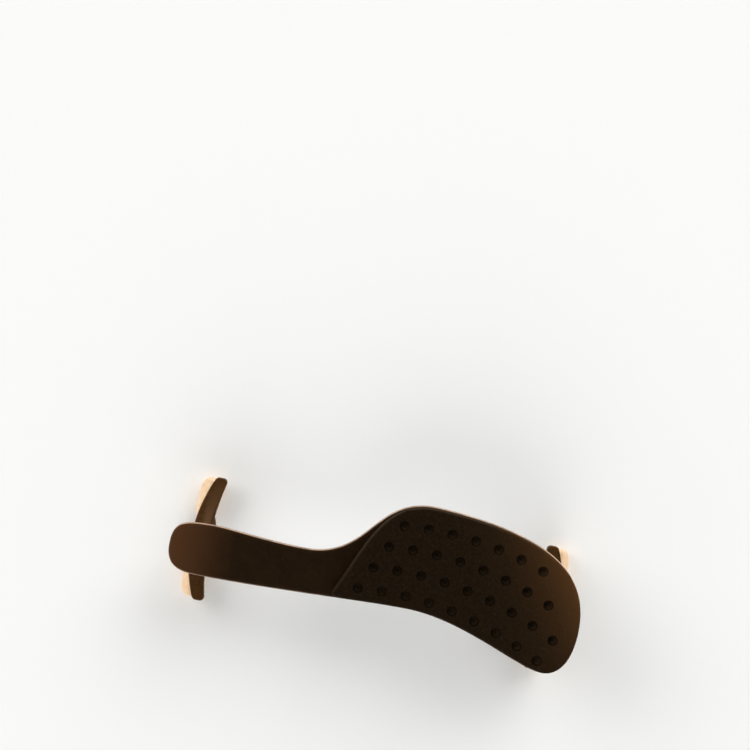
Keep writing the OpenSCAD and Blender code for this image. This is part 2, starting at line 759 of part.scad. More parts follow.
module prong() {
    hook(prong_t, prong_width, sleeve_corner - sleeve_wall);
}

// Rubber sleeve over one prong, with closed ends, drawn up to the arm's outer edge
module sleeve(side) {
    color(latex) difference() {
        on_prong(side) difference() {
            hook(lip_h, prong_width + 2 * sleeve_end, sleeve_corner);
            prong();
        }
        translate([0, 0, fork_z]) linear_extrude(fork_t + lip_h) fork_plan();
    }
}

module on_side(side) {
    translate([0, foot_line, 0]) mirror([side == "chest" ? 1 : 0, 0, 0]) children();
}

bar();
pad();
for (side = SIDES) on_side(side) {
    rail();
    rail_screws();
    rail_inserts();
    slide_nut();
    carriage();
    clamp_stud();
    clamp_knob();
    hinge_pin();
    housing();
    height_wheel();
    stem();
    washer();
    fork();
    clip();
    sleeve(1);
    sleeve(-1);
}
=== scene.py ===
import contextlib
import json
import math

import bmesh
import bpy
from mathutils import Matrix, Vector


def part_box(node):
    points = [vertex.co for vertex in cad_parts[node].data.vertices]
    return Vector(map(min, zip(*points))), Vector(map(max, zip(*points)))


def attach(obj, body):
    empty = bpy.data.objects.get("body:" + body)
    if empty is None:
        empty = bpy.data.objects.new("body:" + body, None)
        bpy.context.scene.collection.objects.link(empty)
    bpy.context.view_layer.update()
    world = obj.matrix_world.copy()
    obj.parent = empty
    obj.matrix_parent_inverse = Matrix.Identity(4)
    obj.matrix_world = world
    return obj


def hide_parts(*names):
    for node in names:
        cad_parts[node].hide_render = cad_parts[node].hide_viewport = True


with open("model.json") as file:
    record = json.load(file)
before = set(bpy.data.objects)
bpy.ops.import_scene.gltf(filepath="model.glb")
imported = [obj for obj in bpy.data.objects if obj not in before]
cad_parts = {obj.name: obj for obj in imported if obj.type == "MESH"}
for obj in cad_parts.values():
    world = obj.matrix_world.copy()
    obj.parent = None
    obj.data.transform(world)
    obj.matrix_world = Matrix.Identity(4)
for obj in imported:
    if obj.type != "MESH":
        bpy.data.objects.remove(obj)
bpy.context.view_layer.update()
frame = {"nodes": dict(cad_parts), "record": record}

MM = 0.001
SIDES = {"chest": -1, "shoulder": 1}
BODY = {node: body for body, nodes in frame["record"]["behaviour"]["bodies"].items() for node in nodes}
SLOT = {row["node"]: row["material_slot"] for row in frame["record"]["subparts"]}

# Places taken from the frame, in metres
foot_line = sum(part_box("shoulder_hinge_pin"), Vector()).y / 2
bar_low, bar_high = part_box("bar")
rail_low, rail_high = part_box("shoulder_rail")

# Sizes of the bar and the pad, in millimetres and degrees, measured from the middle of the foot line
half_length = bar_high.x / MM
crown_rise = (bar_high.y - foot_line) / MM
hook_drop = (foot_line - bar_low.y) / MM
bar_thickness, bar_edge = 5.0, 1.8
bar_cells, pad_cells = (78, 10), (44, 22)
mould_line, mould_depth = 0.5, 0.12
saddle_rise, hook_rise, hook_from = 7.5, 4.0, 60.0
boss_least, boss_side, boss_corner, boss_sink = 0.5, 0.5, 1.5, 1.0
arm_rise, arm_drop = 11.2, 18.5
waist_rise, waist_drop = 8.5, 13.9
tip_drop = 6.6
waist_x, crown_x, dip_x = -43.0, 28.0, 22.0
arm_top_x, arm_low_x = 25 - half_length, 17 - half_length
hook_x = half_length - 15.5
crown_heading = -2.0
pad_thickness, pad_crown, pad_edge, pad_rim, pad_glue = 6.0, 1.4, 1.6, 0.8, 0.15
pad_foot = 0.6
pad_start, pad_corner, pad_lean = -23.0, 2.4, 67.0
dimple_r, dimple_depth = 2.7, 3.0
# Round a dimple's centre, the reach of the cut in the pad's face and of the edge that the cut leaves
dimple_cut, dimple_join = 3.9, 6.5
dimple_pitch, row_pitch, row_lean, row_heading, row_turn = 13.65, 14.5, 64.2, 3.7, 4.0
row_counts = (9, 9, 8, 7)
first_dimple = (14.3, 5.6)

# Sizes of the forks, their hooks and the sleeves, in millimetres and degrees
foot_x = sum(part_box("shoulder_stem"), Vector()).x / 2 / MM
hub_r, hub_h, hub_floor, hub_gap = 7.5, 5.5, 3.5, 0.03
fork_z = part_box("shoulder_fork")[1].z / MM - hub_h
fork_t, fork_edge = 4.0, 0.7
fork_chord, fork_reach, fork_root, fork_corner = 72.0, 14.5, 10.6, 2.4
fork_radius, fork_inner_radius = 85.0, 150.0
journal_r, clip_recess_r = 2.55, 5.1
web_front, web_narrow, web_wide, web_sink, web_inset = 1.2, 7.2, 18.0, 1.0, 0.02
prong_reach, prong_y, prong_turn, prong_width, prong_t = 7.0, 22.5, 4.0, 20.0, 2.4
prong_flare, prong_bend, lip_length = 30.0, 3.4, 3.2
sleeve_width, sleeve_thick, sleeve_corner, sleeve_gap = 24.0, 5.6, 5.0, 0.05


# Modelling by hand

def alone(obj):
    """Makes obj the one selected and active object."""
    bpy.ops.object.select_all(action="DESELECT")
    obj.select_set(True)
    bpy.context.view_layer.objects.active = obj


@contextlib.contextmanager
def editing(obj):
    alone(obj)
    bpy.ops.object.mode_set(mode="EDIT")
    yield
    bpy.ops.object.mode_set(mode="OBJECT")


def pick(obj, kind, wanted):
    """In edit mode, selects the vertices, edges or faces for which wanted is true."""
    bpy.ops.mesh.select_mode(type={"verts": "VERT", "edges": "EDGE", "faces": "FACE"}[kind])
    bpy.ops.mesh.select_all(action="DESELECT")
    mesh = bmesh.from_edit_mesh(obj.data)
    for element in getattr(mesh, kind):
        if wanted(element):
            element.select_set(True)
    mesh.select_flush_mode()
    bmesh.update_edit_mesh(obj.data)


def modify(obj, kind, **settings):
    alone(obj)
    modifier = obj.modifiers.new(kind.lower(), kind)
    for name, value in settings.items():
        setattr(modifier, name, value)
    bpy.ops.object.modifier_apply(modifier=modifier.name)


def smooth(obj, angle=35):
    alone(obj)
    bpy.ops.object.shade_smooth_by_angle(angle=math.radians(angle))


def outward(obj):
    with editing(obj):
        bpy.ops.mesh.select_all(action="SELECT")
        bpy.ops.mesh.normals_make_consistent(inside=False)


def join(obj, *others):
    alone(obj)
    for other in others:
        other.select_set(True)
    bpy.ops.object.join()


def combine(obj, tool, operation):
    """Joins the tool's solid to obj, cuts it away or keeps what both share, and deletes the tool."""
    modify(obj, "BOOLEAN", object=tool, operation=operation, solver="EXACT")
    bpy.data.objects.remove(tool)


def settle(obj):
    alone(obj)
    bpy.ops.object.transform_apply(location=True, rotation=True, scale=True)


def moved(obj, name, place):
    """A copy of a piece with a mesh of its own, at another place."""
    copy = bpy.data.objects.new(name, obj.data.copy())
    bpy.context.scene.collection.objects.link(copy)
    copy.matrix_world = place
    settle(copy)
    return copy


def solid_copy(node, name):
    """A merged copy of a CAD node, with flat faces made whole, to be finished by hand."""
    obj = bpy.data.objects.new(name, frame["nodes"][node].data.copy())
    bpy.context.scene.collection.objects.link(obj)
    obj.data.materials.clear()
    with editing(obj):
        bpy.ops.mesh.select_all(action="SELECT")
        bpy.ops.mesh.customdata_custom_splitnormals_clear()
        bpy.ops.mesh.remove_doubles(threshold=0.002 * MM)
        bpy.ops.mesh.dissolve_limited(angle_limit=math.radians(0.8))
    return obj


def ease_edges(obj, width, segments=3, angle=32):
    modify(obj, "BEVEL", width=width * MM, segments=segments, limit_method="ANGLE",
           angle_limit=math.radians(angle), use_clamp_overlap=True, miter_outer="MITER_ARC")
    smooth(obj)


def dress(obj, *nodes):
    """Gives a finished piece the body, slot and material of the CAD nodes that it stands for."""
    obj.data.materials.clear()
    obj.data.materials.append(FINISH[SLOT[nodes[0]]])
    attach(obj, BODY[nodes[0]])
    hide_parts(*nodes)
    return obj


def drawn(name, points, closed=False):
    """A line of edges through points given in millimetres."""
    edges = [(i, i + 1) for i in range(len(points) - 1)]
    if closed:
        edges.append((len(points) - 1, 0))
    mesh = bpy.data.meshes.new(name)
    mesh.from_pydata([[c * MM for c in p] for p in points], edges, [])
    obj = bpy.data.objects.new(name, mesh)
    bpy.context.scene.collection.objects.link(obj)
    return obj


def turned(name, profile, closed=False, steps=64):
    """A solid turned round Z from [radius, height] points."""
    obj = drawn(name, [(r, 0, z) for r, z in profile], closed)
    modify(obj, "SCREW", axis="Z", angle=2 * math.pi, steps=steps, render_steps=steps,
           use_merge_vertices=True, merge_threshold=0.001 * MM)
    outward(obj)
    return obj


def threaded(name, radius, depth, pitch, low, high, chamfer):
    """A screw thread round Z between two heights, with chamfered ends."""
    turns = math.ceil((high - low) / pitch) + 2
    root = radius - depth
    ridge = [(root, 0), (radius - 0.08 * depth, 0.38), (radius, 0.44), (radius, 0.5),
             (radius - 0.08 * depth, 0.56), (root, 0.94), (root, 1)]
    rod = drawn(name, [(r, 0, low + (share - 1) * pitch) for r, share in ridge])
    modify(rod, "SCREW", axis="Z", angle=2 * math.pi, screw_offset=pitch * MM, iterations=turns, steps=24,
           render_steps=24, use_merge_vertices=True, merge_threshold=0.001 * MM)
    with editing(rod):
        for height, ends in ((low, {"clear_inner": True}), (high, {"clear_outer": True})):
            bpy.ops.mesh.select_all(action="SELECT")
            bpy.ops.mesh.bisect(plane_co=(0, 0, height * MM), plane_no=(0, 0, 1), use_fill=True, **ends)
    outward(rod)
    slope = depth + chamfer
    skin = turned("thread_ends", [
        (0, low - 1), (root - chamfer, low - 1), (root - chamfer, low), (radius + 0.1, low + slope),
        (radius + 0.1, high - slope), (root - chamfer, high), (0, high)])
    combine(rod, skin, "INTERSECT")
    return rod


def flute(obj, rim, count, notch):
    """Presses round notches into the rim of a piece turned round Z."""
    for vertex in obj.data.vertices:
        reach = vertex.co.to_2d().length / MM
        if reach < rim - notch - 0.5:
            continue
        turn = math.atan2(vertex.co.y, vertex.co.x) * count / (2 * math.pi)
        away = abs(turn - round(turn)) * 2 * math.pi * rim / count
        floor = rim - math.sqrt(max(0, notch * notch - away * away))
        if reach > floor:
            vertex.co.x *= floor / reach
            vertex.co.y *= floor / reach


def mark(obj, name, value):
    """Keeps a number for each vertex, which a material reads."""
    layer = obj.data.attributes.new(name, "FLOAT", "POINT")
    layer.data.foreach_set("value", [value(vertex) for vertex in obj.data.vertices])


# Outlines: a knot is [x, y, heading, reach back, reach on], and a cubic joins two knots

def cubic(a, b, t):
    ahead = (a[0] + a[4] * math.cos(math.radians(a[2])), a[1] + a[4] * math.sin(math.radians(a[2])))
    behind = (b[0] - b[3] * math.cos(math.radians(b[2])), b[1] - b[3] * math.sin(math.radians(b[2])))
    weights = ((1 - t) ** 3, 3 * (1 - t) ** 2 * t, 3 * (1 - t) * t * t, t ** 3)
    return Vector([sum(w * p[i] for w, p in zip(weights, (a, ahead, behind, b))) for i in (0, 1)])


def curve(knots, steps=40):
    points = [cubic(a, b, s / steps) for a, b in zip(knots, knots[1:]) for s in range(steps)]
    return points + [Vector(knots[-1][:2])]


def lookup(x, line):
    """The height of a line that runs on in X."""
    for a, b in zip(line, line[1:]):
        if a.x <= x <= b.x and b.x > a.x:
            return a.y + (b.y - a.y) * (x - a.x) / (b.x - a.x)
    return line[0].y if x < line[0].x else line[-1].y


chest_tip_y = (arm_rise - arm_drop) / 2
arm_half = (arm_rise + arm_drop) / 2
swell = 0.54 * (crown_x - waist_x)
hook_run = hook_x - dip_x
lobe_run = half_length - crown_x
bar_upper = curve([
    [-half_length, chest_tip_y, 90, 0, 0.85 * arm_half],
    [arm_top_x, arm_rise, 0, 0.85 * (half_length + arm_top_x), 0.16 * (waist_x - arm_top_x)],
    [waist_x, waist_rise, 0, 0.5 * (waist_x - arm_top_x), swell],
    [crown_x, crown_rise, crown_heading, swell, 0.8 * lobe_run],
    [half_length, -tip_drop, -90, 0.575 * (crown_rise + tip_drop), 0],
])
bar_lower = curve([
    [-half_length, chest_tip_y, -90, 0, 0.7 * arm_half],
    [arm_low_x, -arm_drop, 0, 0.7 * (half_length + arm_low_x), 0.43 * (dip_x - arm_low_x)],
    [dip_x, -waist_drop, 0, 0.2 * (dip_x - arm_low_x), 0.4 * hook_run],
    [hook_x, -hook_drop, 0, 0.18 * hook_run, 0.5 * (half_length - hook_x)],
    [half_length, -tip_drop, 90, 0.63 * (hook_drop - tip_drop), 0],
])
pad_tip_x = half_length - pad_rim
pad_corner_x = pad_start + pad_corner
pad_tip_y = lookup(pad_start, bar_lower) + pad_rim + pad_corner
pad_corner_y = lookup(pad_corner_x, bar_lower) + pad_rim
pad_slant = crown_x - pad_start
pad_upper = curve([
    [pad_start, pad_tip_y, 90, 0, 0.7 * pad_corner],
    [pad_corner_x, pad_tip_y + 2.2 * pad_corner, pad_lean, 1.1 * pad_corner, 0.66 * pad_slant],
    [crown_x, crown_rise - pad_rim, crown_heading, 0.57 * pad_slant, 0.8 * lobe_run],
    [pad_tip_x, -tip_drop, -90, 0.575 * (crown_rise + tip_drop), 0],
])
pad_lower = curve([
    [pad_start, pad_tip_y, -90, 0, 0.55 * pad_corner],
    [pad_corner_x, pad_corner_y, 3, 0.55 * pad_corner, 0.3 * (dip_x - pad_corner_x)],
    [dip_x, pad_rim - waist_drop, 0, 0.3 * (dip_x - pad_corner_x), 0.4 * hook_run],
    [hook_x, pad_rim - hook_drop, 0, 0.18 * hook_run, 0.5 * (half_length - hook_x)],
    [pad_tip_x, -tip_drop, 90, 0.63 * (hook_drop - tip_drop), 0],
])


def saddle(x):
    return saddle_rise * (x / half_length) ** 2


bar_middle = rail_high.z / MM + boss_least - saddle(rail_low.x / MM)


def bar_under(x):
    lift = max(0, x - hook_from) / (half_length - hook_from)
    return bar_middle + saddle(x) + hook_rise * lift ** 2


def pad_height(x, y):
    low, high = lookup(x, pad_lower), lookup(x, pad_upper)
    across = (2 * y - low - high) / max(1, high - low)
    return pad_crown * (1 - min(1, across * across))


def stretch(loop, start, end, count):
    """The way round a loop between the points nearest to start and end, in even steps."""
    first, last = (min(range(len(loop)), key=lambda i: (loop[i] - Vector(p)).length) for p in (start, end))
    way = [loop[(first + i) % len(loop)] for i in range((last - first) % len(loop) + 1)]
    reach = [0.0]
    for a, b in zip(way, way[1:]):
        reach.append(reach[-1] + (b - a).length)
    points, k = [], 0
    for i in range(count + 1):
        want = reach[-1] * i / count
        while k < len(way) - 2 and reach[k + 1] < want:
            k += 1
        points.append(way[k].lerp(way[k + 1], (want - reach[k]) / (reach[k + 1] - reach[k])))
    return points


def plan_grid(name, upper, lower, corners, cells):
    """A grid of quads pulled out to an outline: its corners go to the named places on the edge."""
    loop = upper + lower[-2:0:-1]
    nu, nv = cells
    top = stretch(loop, corners[0], corners[1], nu)
    right = stretch(loop, corners[1], corners[2], nv)[::-1]
    bottom = stretch(loop, corners[2], corners[3], nu)[::-1]
    left = stretch(loop, corners[3], corners[0], nv)
    bpy.ops.object.select_all(action="DESELECT")
    bpy.ops.mesh.primitive_grid_add(x_subdivisions=nu, y_subdivisions=nv, size=1)
    obj = bpy.context.object
    obj.name = name
    for vertex in obj.data.vertices:
        u, v = vertex.co.x + 0.5, vertex.co.y + 0.5
        i, j = round(u * nu), round(v * nv)
        edges = (1 - v) * bottom[i] + v * top[i] + (1 - u) * left[j] + u * right[j]
        turns = (1 - u) * ((1 - v) * bottom[0] + v * top[0]) + u * ((1 - v) * bottom[nu] + v * top[nu])
        vertex.co = (edges - turns).to_3d() * MM
    return obj


def sharp_rim(edge, z):
    return (len(edge.link_faces) == 2 and edge.calc_face_angle() > 1
            and all(abs(v.co.z - z * MM) < 0.01 * MM for v in edge.verts))


# Bar and pad

def make_bar():
    corners = ((-112.5, 8.6), (107, 25), (113.5, -24), (-113, -15))
    bar = plan_grid("shaped_bar", bar_upper, bar_lower, corners, bar_cells)
    modify(bar, "SOLIDIFY", thickness=bar_thickness * MM, offset=1)
    with editing(bar):
        pick(bar, "edges", lambda e: sharp_rim(e, 0) or sharp_rim(e, bar_thickness))
        bpy.ops.mesh.bevel(offset=bar_edge * MM, segments=3, clamp_overlap=False)
        # Mould line, a fine groove round the middle of the rim
        pick(bar, "faces", lambda f: abs(f.normal.z) < 0.1)
        bpy.ops.mesh.inset(thickness=mould_line * MM, depth=-mould_depth * MM, use_boundary=True)
    modify(bar, "SUBSURF", levels=2, render_levels=2)
    for vertex in bar.data.vertices:
        vertex.co.z += bar_under(vertex.co.x / MM) * MM
        vertex.co.y += foot_line
    for side in SIDES.values():
        combine(bar, make_boss(side), "UNION")
    smooth(bar)
    # Painted highlight: a pale line on the bar's upper edge, kept in the rim mark
    mark(bar, "rim", painted_rim_highlight)
    return bar


def ramp(value, low, high):
    return max(0, min(1, (value - low) / (high - low)))


def painted_rim_highlight(vertex):
    """How pale the painted highlight makes the bar's upper edge, most on the neck side, least on the tail
    side of the lobe."""
    up, across = vertex.normal.z, vertex.normal.y
    along = vertex.co.x / MM
    high = vertex.co.z / MM - bar_under(along)
    neck_share = 0.75 + 0.25 * ramp(along, 20, 75)
    tail_share = 0.12 + 0.3 * ramp(-along, 10, 40)
    facing = neck_share * ramp(across, 0.1, 0.6) + tail_share * ramp(-across, 0.1, 0.6)
    return ramp(high, 3.1, 3.5) * ramp(up, 0.1, 0.35) * ramp(-up, -0.8, -0.5) * facing


def painted_pad_edge_highlight(vertex):
    """How pale the painted highlight makes the top edge of the pad's slanted side, which lies free on the
    bar.
    """
    up, side = vertex.normal.z, 0.55 * vertex.normal.y - 0.83 * vertex.normal.x
    height = (vertex.co.y - foot_line) / MM
    edge = ramp(up, 0.35, 0.55) * ramp(-up, -0.92, -0.75) * ramp(side, 0.1, 0.45)
    return edge * (0.45 + 0.55 * ramp(height, 5, 35))


def painted_fork_edge_highlight(vertex):
    """The upper edges of a fork, which the mould leaves sharp, made paler by a painted highlight."""
    up = vertex.normal.z
    return ramp(up, 0.15, 0.4) * ramp(-up, -0.95, -0.8)


def make_boss(side):
    """Flat seat for one rail under the bar."""
    top = bar_under(side * rail_high.x / MM) * MM + boss_sink * MM
    length = rail_high.x - rail_low.x
    width = rail_high.y - rail_low.y + 2 * boss_side * MM
    bpy.ops.object.select_all(action="DESELECT")
    bpy.ops.mesh.primitive_cube_add(
        size=1, scale=(length, width, top - rail_high.z),
        location=(side * (rail_low.x + rail_high.x) / 2, foot_line, (top + rail_high.z) / 2))
    boss = bpy.context.object
    settle(boss)
    with editing(boss):
        pick(boss, "edges", lambda e: abs(e.verts[0].co.z - e.verts[1].co.z) > 1e-4)
        bpy.ops.mesh.bevel(offset=boss_corner * MM, segments=5)
    return boss


def dimple_places():
    first = Vector((pad_start + first_dimple[0], pad_tip_y + first_dimple[1]))
    lean = Vector((math.cos(math.radians(row_lean)), math.sin(math.radians(row_lean))))
    found = []
    for row, count in enumerate(row_counts):
        place = first + row * row_pitch * lean
        for n in range(count):
            found.append(place.copy())
            heading = math.radians(row_heading - row_turn * n)
            place = place + dimple_pitch * Vector((math.cos(heading), math.sin(heading)))
    return found


def make_pad():
    corners = ((11, 39.5), (107, 24), (113, -23), (pad_start + 0.5, pad_tip_y - 1.7))
    pad = plan_grid("dimpled_pad", pad_upper, pad_lower, corners, pad_cells)
    modify(pad, "SOLIDIFY", thickness=pad_thickness * MM, offset=1)
    with editing(pad):
        pick(pad, "edges", lambda e: sharp_rim(e, pad_thickness))
        bpy.ops.mesh.bevel(offset=pad_edge * MM, segments=4, clamp_overlap=False)
        pick(pad, "edges", lambda e: sharp_rim(e, 0))
        bpy.ops.mesh.bevel(offset=pad_foot * MM, segments=2, clamp_overlap=False)
    modify(pad, "SUBSURF", levels=1, render_levels=1)
    places = dimple_places()
    with editing(pad):
        for place in places:
            pick(pad, "faces", lambda f: f.normal.z > 0.9 and any(
                (v.co.to_2d() / MM - place).length < dimple_cut for v in f.verts))
            bpy.ops.mesh.delete(type="FACE")
    first = make_cup(places[0])
    steps = [(place - places[0]).to_3d() * MM for place in places[1:]]
    cups = [moved(first, "cup", Matrix.Translation(step)) for step in steps]
    join(pad, first, *cups)
    with editing(pad):
        for place in places:
            pick(pad, "edges", lambda e: e.is_boundary and all(
                (v.co.to_2d() / MM - place).length < dimple_join for v in e.verts))
            bpy.ops.mesh.bridge_edge_loops()
        bpy.ops.mesh.select_all(action="SELECT")
        bpy.ops.mesh.normals_make_consistent(inside=False)
    modify(pad, "SUBSURF", levels=1, render_levels=1)
    for vertex in pad.data.vertices:
        x, y = vertex.co.x / MM, vertex.co.y / MM
        rise = vertex.co.z / MM
        vertex.co.z = (bar_under(x) + bar_thickness + pad_glue + rise
                       + pad_height(x, y) * rise / pad_thickness) * MM
        vertex.co.y += foot_line
    smooth(pad, 50)
    # Painted highlight on the top edge of the pad's slanted side, kept in the rim mark
    mark(pad, "rim", painted_pad_edge_highlight)
    return pad


def make_cup(place):
    """One dimple with a rolled rim, from the pad's face down to its floor. A ring is a share of the dimple's
    radius and of its depth."""
    rings = ((1.12, 0.01), (1.06, 0.05), (1.03, 0.16), (1.01, 0.4),
             (0.98, 0.77), (0.86, 0.93), (0.6, 1.0), (0.26, 1.02))
    centre = Vector((place.x, place.y, pad_thickness)) * MM
    reach, depth = 1.28, 0.0
    bpy.ops.object.select_all(action="DESELECT")
    bpy.ops.mesh.primitive_circle_add(vertices=24, radius=reach * dimple_r * MM, location=centre)
    cup = bpy.context.object
    settle(cup)
    with editing(cup):
        bpy.ops.mesh.select_all(action="SELECT")
        for r, d in rings:
            bpy.ops.mesh.extrude_edges_move()
            bpy.ops.transform.resize(value=(r / reach, r / reach, 1), center_override=centre)
            bpy.ops.transform.translate(value=(0, 0, (depth - d) * dimple_depth * MM))
            reach, depth = r, d
        bpy.ops.mesh.edge_face_add()
    # Marks painted light for the dimple's floor and painted shade for its wall
    mark(cup, "hollow", dimple_light_and_shade)
    return cup


def dimple_light_and_shade(vertex):
    """Where a dimple's floor is painted lighter against its shade (1) and where its wall is painted dark as
    shade (-1).
    """
    deep = pad_thickness - vertex.co.z / MM
    return ramp(deep, 2.7, 2.95) - ramp(deep, 0.01, 0.12) * ramp(-deep, -2.6, -1.8)


# Forks, sleeves and hardware of the feet

def arc(centre, radius, start, end, steps):
    turns = [start + (end - start) * i / steps for i in range(steps + 1)]
    return [(centre[0] + radius * math.cos(t), centre[1] + radius * math.sin(t)) for t in turns]


def arm_outline():
    """Plan of a fork's arms by the shoulder stem: an arc outside, a flatter one inside, rounded ends."""
    outer_x = foot_x + fork_reach - fork_radius
    inner_x = foot_x + fork_reach - fork_root - fork_inner_radius
    end_y = fork_chord / 2 - fork_corner
    lean = math.asin(end_y / (fork_radius - fork_corner))
    slope = math.asin(end_y / (fork_inner_radius + fork_corner))
    end_out = outer_x + (fork_radius - fork_corner) * math.cos(lean)
    end_in = inner_x + (fork_inner_radius + fork_corner) * math.cos(slope)
    half = (arc((outer_x, 0), fork_radius, 0, lean, 14)[1:]
            + arc((end_out, end_y), fork_corner, lean, math.pi / 2, 5)[1:]
            + arc((end_in, end_y), fork_corner, math.pi / 2, math.pi + slope, 6)
            + arc((inner_x, 0), fork_inner_radius, slope, 0, 14)[1:-1])
    tail = [(x, -y) for x, y in reversed(half)]
    return [(outer_x + fork_radius, 0)] + half + [(inner_x + fork_inner_radius, 0)] + tail


def plate(name, outline, low, high, edge=0.0):
    """A flat plate of any outline beside the foot line, with rounded rims where an edge is given."""
    piece = drawn(name, [(x, y + foot_line / MM, low) for x, y in outline], closed=True)
    with editing(piece):
        bpy.ops.mesh.select_all(action="SELECT")
        bpy.ops.mesh.edge_face_add()
        bpy.ops.mesh.extrude_region_move(TRANSFORM_OT_translate={"value": (0, 0, (high - low) * MM)})
        if edge:
            pick(piece, "edges", lambda e: sharp_rim(e, low) or sharp_rim(e, high))
            bpy.ops.mesh.bevel(offset=edge * MM, segments=3, clamp_overlap=False)
    outward(piece)
    return piece


hook_root = Vector((foot_x + prong_reach, 0, fork_z + fork_t / 2))
hook_straight = (hook_root.z - sleeve_thick / 2 - 2 * prong_bend) / math.cos(math.radians(prong_flare))
hook_knee = hook_root - Vector((0, 0, prong_bend))
hook_centre = Vector((hook_root.x + hook_straight * math.sin(math.radians(prong_flare)), 0,
                      sleeve_thick / 2 + prong_bend))
hook_out = hook_centre.x + prong_bend + sleeve_thick / 2
hook_in = hook_centre.x - lip_length - sleeve_thick / 2


def hook_sweep(name, width, thick, corner, tip):
    """A rounded section drawn along a hook by the shoulder stem: out of the arm, down, and round to the
    lip. The tip lists how far each ring goes on and how thick it is."""
    flare = math.radians(prong_flare)
    section = []
    for k in range(4):
        for step in range(6):
            turn = math.radians(90 * k + 18 * step)
            y = (1 if k in (0, 3) else -1) * (width / 2 - corner) + corner * math.cos(turn)
            z = (1 if k in (0, 1) else -1) * (thick / 2 - corner) + corner * math.sin(turn)
            section.append(hook_root + Vector((0, y, z)))
    hook = drawn(name, section, closed=True)
    with editing(hook):
        bpy.ops.mesh.select_all(action="SELECT")
        bpy.ops.mesh.spin(steps=6, angle=math.pi / 2 - flare, center=hook_knee * MM, axis=(0, -1, 0))
        for _ in range(2):
            bpy.ops.mesh.extrude_edges_move()
            step = Vector((math.sin(flare), 0, -math.cos(flare))) * hook_straight / 2
            bpy.ops.transform.translate(value=step * MM)
        bpy.ops.mesh.spin(steps=10, angle=flare + math.pi / 2, center=hook_centre * MM, axis=(0, -1, 0))
        end = hook_centre - Vector((0, 0, prong_bend))
        size = 1
        for reach, share in tip:
            end = end - Vector((reach, 0, 0))
            bpy.ops.mesh.extrude_edges_move()
            bpy.ops.transform.translate(value=(-reach * MM, 0, 0))
            wide = (width - thick * (1 - share)) / (width - thick * (1 - size))
            bpy.ops.transform.resize(value=(1, wide, share / size), center_override=end * MM)
            size = share
        bpy.ops.mesh.edge_face_add()
        pick(hook, "edges", lambda e: e.is_boundary)
        bpy.ops.mesh.edge_face_add()
    outward(hook)
    return hook


def on_arm(hook, side):
    """Sets a hook on the shoulder fork's neck arm (1) or tail arm (-1)."""
    turn = Matrix.Rotation(side * math.radians(prong_turn), 4, "Z")
    away = Matrix.Translation(Vector((hook_root.x, side * prong_y, 0)) * MM + Vector((0, foot_line, 0)))
    hook.matrix_world = away @ turn @ Matrix.Translation(Vector((-hook_root.x, 0, 0)) * MM)
    settle(hook)


def make_prong(side):
    tip = ((lip_length, 1), (0.8, 0.8), (0.4, 0.4))
    prong = hook_sweep("prong", prong_width, prong_t, corner=0.4, tip=tip)
    on_arm(prong, side)
    return prong


def make_sleeve():
    """Rubber tube on the shoulder fork's neck prong, drawn up to the arm's outer edge."""
    tip = ((1.6, 1), (1.6, 1), (1.1, 0.92), (0.9, 0.72), (0.5, 0.45))
    sleeve = hook_sweep("rubber_sleeve", sleeve_width, sleeve_thick, corner=2.0, tip=tip)
    for vertex in sleeve.data.vertices:
        x = vertex.co.x / MM
        past = min(sleeve_corner, max(0, x - hook_out + sleeve_corner, hook_in + sleeve_corner - x))
        inset = sleeve_corner - math.sqrt(sleeve_corner ** 2 - past ** 2)
        vertex.co.y *= 1 - 2 * inset / sleeve_width
    modify(sleeve, "SUBSURF", levels=1, render_levels=1)
    on_arm(sleeve, 1)
    arm = plate("arm", arm_outline(), fork_z - sleeve_gap, fork_z + 2 * sleeve_thick)
    combine(sleeve, arm, "DIFFERENCE")
    combine(sleeve, make_prong(1), "DIFFERENCE")
    smooth(sleeve, 60)
    return sleeve


def make_fork():
    """Moulded fork: arms with rounded rims, a web to the hub, and a prong for each sleeve."""
    fork = plate("moulded_fork", arm_outline(), fork_z, fork_z + fork_t, fork_edge)
    web_in, web_out = foot_x + web_front, foot_x + fork_reach - fork_root + web_sink
    corners = [(web_in, -web_narrow), (web_out, -web_wide), (web_out, web_wide), (web_in, web_narrow)]
    web = plate("web", corners, fork_z + web_inset, fork_z + fork_t - web_inset, fork_edge)
    hub_top = fork_z + hub_h - hub_gap
    hub = turned("hub", [(0, fork_z), (hub_r - 0.4, fork_z), (hub_r, fork_z + 0.4), (hub_r, hub_top - 0.7),
                         (hub_r - 0.2, hub_top - 0.2), (hub_r - 0.7, hub_top), (0, hub_top)])
    step = hub_top - hub_floor
    bore = turned("bore", [(0, fork_z - 1), (clip_recess_r, fork_z - 1), (clip_recess_r, step),
                           (journal_r, step), (journal_r, hub_top + 1), (0, hub_top + 1)])
    for tool in (hub, bore):
        tool.matrix_world = Matrix.Translation((foot_x * MM, foot_line, 0))
        settle(tool)
    for tool in (web, hub, make_prong(1), make_prong(-1)):
        combine(fork, tool, "UNION")
    combine(fork, bore, "DIFFERENCE")
    smooth(fork)
    # Painted highlight on the fork's upper edges, kept in the rim mark
    mark(fork, "rim", painted_fork_edge_highlight)
    return fork


